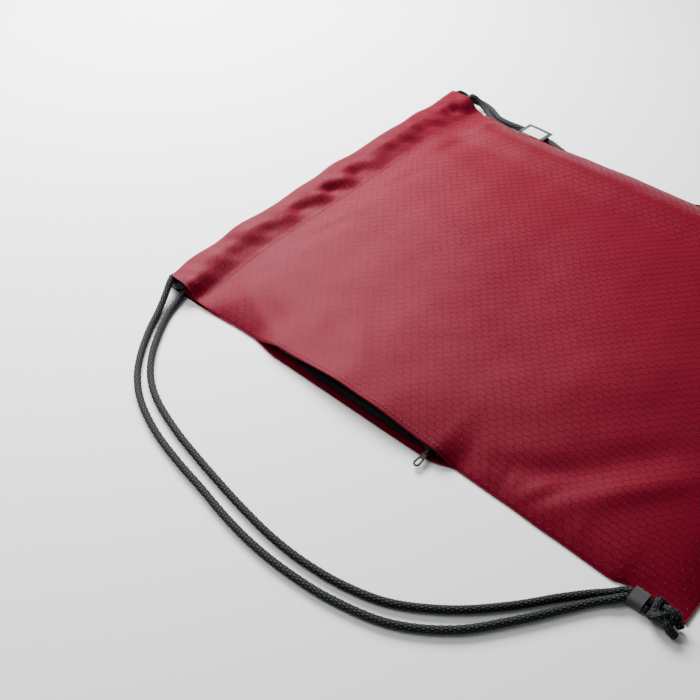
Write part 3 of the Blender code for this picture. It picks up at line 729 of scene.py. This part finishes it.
def braid_tube(name, path, around=32, spacing=0.00040):
    """A round braided cord along a path, its relief in the mesh."""
    path = smooth_route(path, spacing)
    path[:, 2] = np.maximum(path[:, 2], CORD_R + RELIEF_PROUD * RELIEF)
    sides, ups = frames_along(path)
    lengths = np.concatenate([[0], np.cumsum(np.linalg.norm(np.diff(path, axis=0), axis=1))])
    angles = np.arange(around) * math.tau / around
    relief = braid_relief(angles[None, :], lengths[:, None])
    radius = CORD_R - RELIEF_SUNK * RELIEF + RELIEF * relief
    ring = np.cos(angles)[None, :, None] * sides[:, None, :] + np.sin(angles)[None, :, None] * ups[:, None, :]
    verts = path[:, None, :] + ring * radius[:, :, None]
    rows = len(path)
    faces = grid_faces(rows, around, closed=True)
    all_verts = np.concatenate([verts.reshape(-1, 3), path[:1], path[-1:]])
    first = rows * around
    for c in range(around):
        after = (c + 1) % around
        faces.append((first, after, c))
        faces.append((first + 1, (rows - 1) * around + c, (rows - 1) * around + after))
    flat = np.stack(np.broadcast_arrays(angles[None, :] * CORD_R, lengths[:, None]), axis=-1).reshape(-1, 2)
    uv = np.concatenate([flat, np.zeros((2, 2))])
    obj = mesh_object(name, all_verts, faces, BRAID, uv)
    # The relief also sets where the cord's material paints highlights on the strands and shade in the gaps.
    tone = obj.data.attributes.new("relief", "FLOAT", "POINT")
    tone.data.foreach_set("value", np.concatenate([relief.ravel(), [0.4, 0.4]]))
    return obj, path


def run_height(x, front):
    """Height of the cords' centre inside a hem."""
    if front:
        x = np.clip(x, LEFT, RIGHT)
        return float(front_hem_base(np.array([x]))[0]) + HEM_TOP / 2 - 0.0008
    return 0.0034


def build_strand(name):
    """A free strand, from inside the hem's end through the webbing loop to the knot."""
    side = "left" if "left" in name else "right"
    front = "front" in name
    heading = 1 if side == "left" else -1
    outer = (side == "left") == front
    seam_x = LEFT if side == "left" else RIGHT
    start = Vector((seam_x - heading * 0.0015, OUTER_RUN_Y if outer else INNER_RUN_Y, run_height(seam_x, front)))
    route = [start, start - Vector((heading * 0.002, 0, 0))]
    route += [Vector(p) * MM for p in STRAND_ROUTES_MM[name]]
    route.append(Vector((route[-1].x, STRAND_END_Y, route[-1].z)))
    obj, path = braid_tube(name.replace("strand", "braid"), route)
    ride_bag(obj, "cord", name)
    return obj, path, start


def gathered_y(x):
    """Inside the hem the two cords lie close together against its rounded edge."""
    return 0.0075 * float(smooth(0.004, 0.034, min(x - LEFT, RIGHT - x)))


def build_hem_loop(name, turn_side, front_y, back_y):
    """A cord's run through the front hem, its turn outside the far end and its run back through the back hem."""
    start_x, turn_x = (RIGHT, LEFT) if turn_side == "left" else (LEFT, RIGHT)
    outward = -1 if turn_side == "left" else 1
    start_x -= outward * 0.0012
    route = []
    for step in range(31):
        x = start_x + (turn_x - start_x) * step / 30
        y = front_y + (gathered_y(x) if front_y == INNER_RUN_Y else 0)
        route.append(Vector((x, y, run_height(x, True))))
    turn_end = Vector((turn_x, back_y, run_height(turn_x, False)))
    centre = (route[-1] + turn_end) / 2
    arm = route[-1] - centre
    for step in range(1, 8):
        angle = math.pi * step / 8
        reach = Vector((outward * arm.length * 0.75 * math.sin(angle), 0, 0))
        route.append(centre + arm * math.cos(angle) + reach)
    for step in range(8):
        route.append(turn_end.lerp(Vector((start_x, back_y, turn_end.z)), step / 7))
    obj, _ = braid_tube(name.replace("loop", "braid"), route, around=20, spacing=0.0008)
    return ride_bag(obj, "cord", name)


def build_knot(side):
    """Overhand knot of the cord's two ends, with the sealed ends standing out of it."""
    low, high = LOOPS[side]
    centre = Vector(((low.x + high.x) / 2, STRAND_END_Y - 0.0078, 0.0060))
    route = []
    for step in range(73):
        t = math.tau * step / 72
        x = math.sin(t) + 2 * math.sin(2 * t)
        y = math.cos(t) - 2 * math.cos(2 * t)
        route.append(centre + Vector((x * 0.0024, y * 0.0024, -math.sin(3 * t) * 0.0024)))
    turns, _ = braid_tube("cord_%s_knot_turns" % side, route, around=24)
    objects = [turns]
    outward = -1 if side == "left" else 1
    ends = (((0.002, 0.004, 0.001), (0.0062, -0.006, 0.001), (0.0072, -0.0100, -0.0014), (0.0066, -0.0135, -0.0030)),
            ((-0.002, 0.004, -0.001), (-0.0030, -0.007, 0.002), (-0.0012, -0.0105, -0.0008),
             (0.0002, -0.0130, -0.0030)))
    for index, end in enumerate(ends):
        points = [centre + Vector((x * outward, y, z)) for x, y, z in end]
        obj, _ = braid_tube("cord_%s_knot_end_%d" % (side, index + 1), points, around=24)
        objects.append(obj)
    for obj in objects:
        ride_bag(obj, "cord", "cord_%s_knot" % side)
    return objects


def build_cords():
    knots = {side: build_knot(side) for side in ("left", "right")}
    for name in STRAND_ROUTES_MM:
        obj, path, start = build_strand(name)
    build_hem_loop("cord_left_hem_loop", "right", OUTER_RUN_Y, INNER_RUN_Y)
    build_hem_loop("cord_right_hem_loop", "left", INNER_RUN_Y, OUTER_RUN_Y)


# ---------------------------------------------------------------- zip
ZIP_X = LEFT - 0.001
ZIP_Z = 0.0054
ZIP_TILT = math.radians(8)
ZIP_LOW = -0.0412
ZIP_HIGH = 0.104
COIL_PITCH = 0.00090
COIL_LIP_RISE = 0.0090                      # the lip that the front coil hangs from
COIL_LIP_GAPE = 0.0058


def zip_gape(y):
    """1 where the two coils hang apart, 0 where the slider or the stops hold them."""
    return smooth(-0.031, 0.0, y) * (1 - smooth(0.068, 0.094, y))


def coil_point(y, front):
    """Centre of a zip coil: held by the slider and the stops, hanging from its lip between them."""
    sign = 1 if front else -1
    offset = sign * (0.0011 + 0.0009 * smooth(-0.0395, -0.0318, y) * (1 - smooth(0.094, ZIP_HIGH, y)))
    held = np.array([ZIP_X - offset * math.sin(ZIP_TILT), y, ZIP_Z + offset * math.cos(ZIP_TILT)])
    lip = 0.0015 + COIL_LIP_RISE * lip_plateau(y) + COIL_LIP_GAPE * lip_hump(y)
    if front:
        hanging = np.array([LEFT + 0.0025, y, lip - 0.0040])
    else:
        hanging = np.array([ZIP_X - 0.0009, y, ZIP_Z - 0.0024])
    return held + (hanging - held) * zip_gape(y)


def build_zip_coil(node, front):
    """A nylon spiral, its turns flattened where they would mesh with the other side's."""
    turns = int((ZIP_HIGH - ZIP_LOW) / COIL_PITCH)
    per_turn = 12
    ys = np.linspace(ZIP_LOW + 0.0004, ZIP_HIGH - 0.0004, turns * per_turn + 1)
    path = np.array([coil_point(y, front) for y in ys])
    angle = np.arange(len(ys)) * math.tau / per_turn
    path[:, 0] += 0.00058 * np.cos(angle)
    path[:, 2] += 0.00070 * np.sin(angle)
    sides, ups = frames_along(path)
    around = 6
    turn = np.arange(around) * math.tau / around
    ring = np.cos(turn)[None, :, None] * sides[:, None, :] + np.sin(turn)[None, :, None] * ups[:, None, :]
    verts = (path[:, None, :] + 0.00027 * ring).reshape(-1, 3)
    obj = mesh_object(node + "_spiral", verts, grid_faces(len(path), around, closed=True), COIL)
    ride_bag(obj, "zip_coil", node)
    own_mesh(obj)


def build_zip_tape(node, front):
    """Tape from the coil to the lip, then in beside the panel, where its stitches hold it."""
    ys = np.linspace(ZIP_LOW - 0.001, ZIP_HIGH + 0.002, 150)
    across = np.linspace(0, 1, 14)
    verts = []
    uv = []
    sign = 1 if front else -1
    for y in ys:
        coil = coil_point(min(max(y, ZIP_LOW), ZIP_HIGH), front)
        near = coil + np.array([0.0002, 0, sign * 0.0009])
        x = np.array([LEFT + 0.0005, LEFT + 0.0055])
        if front:
            z = front_height(x, np.full(2, y)) - CLOTH - 0.0007
        else:
            z = np.full(2, 0.0013)
        points = np.array([near, (x[0], y, z[0]), (x[1], y, z[1])])
        for t in across:
            a = t * 2
            part = points[0] + (points[1] - points[0]) * a if a < 1 else points[1] + (points[2] - points[1]) * (a - 1)
            wave = 0.00012 * math.sin(y / 0.0023 + 3 * t)
            verts.append((part[0] + wave, y, part[2]))
            uv.append((t * 0.012, y))
    obj = mesh_object(node + "_cloth", verts, grid_faces(len(ys), len(across)), TAPE, uv)
    thicken(obj, 0.00040)
    ride_bag(obj, "zip_tape", node)
    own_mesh(obj)


POCKET_REACH = LEFT + 0.125
POCKET_LOW = -0.050
POCKET_HIGH = 0.112


def build_pocket_lining(node, front):
    """One layer of the pocket: the back one lies flat, the front one stands up under the pocket's lip."""
    xs = np.linspace(LEFT + 0.0065, POCKET_REACH, 60)
    ys = np.linspace(POCKET_LOW, POCKET_HIGH, 80)
    x, y = np.meshgrid(xs, ys)
    ripple = 0.00025 * wave_sum(BACK_WAVES, x * 2.2, y * 2.2)
    low = back_height(x, y) + 0.0012
    if front:
        spread = smooth(POCKET_LOW, -0.028, y) * (1 - smooth(0.090, POCKET_HIGH, y))
        spread = spread * (1 - smooth(LEFT + 0.1, POCKET_REACH, x))
        roof = 0.0095 + (front_height(x, y) - 0.0024 - 0.0095) * (1 - smooth(0, 0.032, x - xs[0]))
        roof = np.minimum(roof, front_height(x, y) - 0.0020)
        z = low + 0.0008 + (roof - low - 0.0008) * spread + ripple * spread
    else:
        z = low + np.abs(ripple)
    verts = np.stack([x, y, z], axis=-1).reshape(-1, 3)
    uv = np.stack([x, y], axis=-1).reshape(-1, 2)
    obj = mesh_object(node + "_cloth", verts, grid_faces(len(ys), len(xs)), LINING, uv)
    thicken(obj, 0.00030)
    ride_bag(obj, "lining", node)


# ---------------------------------------------------------------- label and stitches
def build_label():
    """The label lies flat, out from the right seam, with a slight curl."""
    width = LABEL_HIGH.x - LABEL_LOW.x
    length = LABEL_HIGH.y - LABEL_LOW.y
    out, along = np.meshgrid(np.linspace(0, 1, 24), np.linspace(0, 1, 40))
    x = LABEL_LOW.x + width * out
    y = LABEL_LOW.y + length * along
    curl = 0.0005 * np.sin(math.pi * along) * out + 0.0003 * out ** 3
    z = LABEL_HIGH.z - 0.0004 - (LABEL_HIGH.z - LABEL_LOW.z - 0.0006) * out + curl
    verts = np.stack([x, y, z], axis=-1).reshape(-1, 3)
    uv = np.stack([x - LABEL_LOW.x, y - LABEL_LOW.y], axis=-1).reshape(-1, 2)
    mat = label_material("label_woven", width * 1000, length * 1000)
    obj = mesh_object("seam_label_cloth", verts, grid_faces(40, 24), mat, uv)
    thicken(obj, 0.0006)
    ride_bag(obj, "label", "seam_label")


STITCH_LENGTH = 0.0026
STITCH_GAP = 0.0009
STITCH_RADIUS = 0.00021


def stitch_row(name, points, mat, slot):
    """Short sunk stitches along a line of points that lie on the cloth."""
    points = np.asarray(points, float)
    run = np.concatenate([[0], np.cumsum(np.linalg.norm(np.diff(points, axis=0), axis=1))])
    count = int(run[-1] / (STITCH_LENGTH + STITCH_GAP))
    verts = []
    faces = []
    around = 6
    rows = 7
    for index in range(count):
        first = index * (STITCH_LENGTH + STITCH_GAP)
        base = len(verts)
        for row in range(rows):
            t = row / (rows - 1)
            at = first + STITCH_LENGTH * t
            centre = np.array([np.interp(at, run, points[:, axis]) for axis in range(3)])
            ahead = np.array([np.interp(at + 0.0004, run, points[:, axis]) for axis in range(3)]) - centre
            ahead /= max(np.linalg.norm(ahead), 1e-9)
            side = np.cross(ahead, (0, 0, 1))
            side /= max(np.linalg.norm(side), 1e-9)
            up = np.cross(side, ahead)
            size = STITCH_RADIUS * max(math.sin(math.pi * (0.08 + 0.84 * t)), 0.15) ** 0.5
            arch = up * (STITCH_RADIUS * 1.3 * math.sin(math.pi * t) - STITCH_RADIUS * 0.5)
            for step in range(around):
                angle = math.tau * step / around
                verts.append(centre + arch + size * (math.cos(angle) * side + math.sin(angle) * up))
        for face in grid_faces(rows, around, closed=True):
            faces.append(tuple(base + corner for corner in face))
    obj = mesh_object(name, verts, faces, mat)
    ride_bag(obj, slot)


def surface_line(xs, ys, height, offset):
    """Points on a panel's surface, raised by the offset."""
    xs = np.asarray(xs, float) + 0 * np.asarray(ys, float)
    ys = np.asarray(ys, float) + 0 * xs
    return np.stack([xs, ys, height(xs, ys) + offset], axis=-1)


def build_stitches():
    xs = np.linspace(LEFT + 0.004, RIGHT - 0.004, 300)
    stitch_row("hem_stitches_front", surface_line(xs, HEM_STITCH, front_height, 0.00012), RED_THREAD, "ripstop")
    stitch_row("hem_stitches_back", surface_line(xs, HEM_STITCH, back_height, -0.00002), RED_THREAD, "ripstop")
    ys = np.linspace(-0.048, 0.112, 160)
    front_x = left_edge(ys, True) + 0.0034
    stitch_row("pocket_stitches_front", surface_line(front_x, ys, front_height, 0.00012), RED_THREAD, "ripstop")
    for side, (low, high) in LOOPS.items():
        x = high.x - 0.0012 if side == "left" else low.x + 0.0012
        tack = [(x, low.y + 0.001, high.z - 0.00005), (x, high.y - 0.001, high.z - 0.00005)]
        stitch_row("webbing_stitches_" + side, tack, BLACK_THREAD, "webbing")


METAL_NODES = ("zip_slider", "zip_puller", "zip_top_stop_front", "zip_top_stop_back", "zip_bottom_stop")
WEBBING_NODES = ("cord_left_webbing_loop", "cord_right_webbing_loop")


def dress_frame_nodes():
    """The CAD nodes that stay visible get their materials."""
    for nodes, mat in ((METAL_NODES, ZIP_METAL), (WEBBING_NODES, WEBBING)):
        for node in nodes:
            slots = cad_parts[node].data.materials
            slots.clear()
            slots.append(mat)


# ---------------------------------------------------------------- stage, light and camera
CAMERA_POSITION = (-0.5494, -0.2990, 0.5556)
CAMERA_YAW = math.radians(48.004)           # from +Y towards +X
CAMERA_PITCH = math.radians(45.125)
CAMERA_LENS = 54.0


def build_camera():
    camera = bpy.data.cameras.new("camera")
    camera.lens = CAMERA_LENS
    camera.sensor_width = 36.0
    camera.clip_start = 0.01
    obj = bpy.data.objects.new("camera", camera)
    obj.location = CAMERA_POSITION
    obj.rotation_euler = (math.pi / 2 - CAMERA_PITCH, 0, -CAMERA_YAW)
    bpy.context.scene.collection.objects.link(obj)
    bpy.context.scene.camera = obj


def area_light(name, location, target, size, power, colour):
    light = bpy.data.lights.new(name, "AREA")
    light.shape = "RECTANGLE"
    light.size, light.size_y = size
    light.energy = power
    light.color = colour
    obj = bpy.data.objects.new(name, light)
    obj.location = location
    direction = Vector(target) - Vector(location)
    obj.rotation_euler = direction.to_track_quat("-Z", "Y").to_euler()
    bpy.context.scene.collection.objects.link(obj)


def build_stage():
    n = Nodes("studio_floor")
    tone = n.mix(n.noise(1.2, 2.0), (0.86, 0.87, 0.87, 1), (0.89, 0.895, 0.895, 1))
    floor_material = n.finish(tone, 0.75, None, Specular_IOR_Level=0.3)
    mesh = bpy.data.meshes.new("floor")
    bm = bmesh.new()
    bmesh.ops.create_grid(bm, x_segments=1, y_segments=1, size=3.0)
    bm.to_mesh(mesh)
    bm.free()
    floor = finish_object("floor", mesh, floor_material)

    area_light("back_key", (0.24, 0.68, 0.54), (-0.18, 0.14, 0), (0.58, 0.38), 32, (1.0, 0.995, 0.985))
    area_light("left_fill", (-0.40, 0.55, 0.75), (-0.26, 0.20, 0), (0.5, 0.5), 5.0, (0.98, 0.99, 1.0))
    area_light("top_fill", (-0.1, 0.1, 1.5), (-0.1, 0.1, 0), (1.2, 1.2), 1.5, (1.0, 1.0, 1.0))
    world = bpy.data.worlds.new("studio")
    bpy.context.scene.world = world
    world.use_nodes = True
    world.node_tree.nodes["Background"].inputs["Color"].default_value = (0.86, 0.90, 0.92, 1)
    world.node_tree.nodes["Background"].inputs["Strength"].default_value = 0.14


build_camera()
build_cords()
build_panel("front_panel_cloth", True)
build_panel("back_panel_cloth", False)
for word, is_front in (("front", True), ("back", False)):
    build_zip_coil("zip_coil_" + word, is_front)
    build_zip_tape("zip_tape_" + word, is_front)
    build_pocket_lining("pocket_lining_" + word, is_front)
build_label()
build_stitches()
dress_frame_nodes()
build_stage()
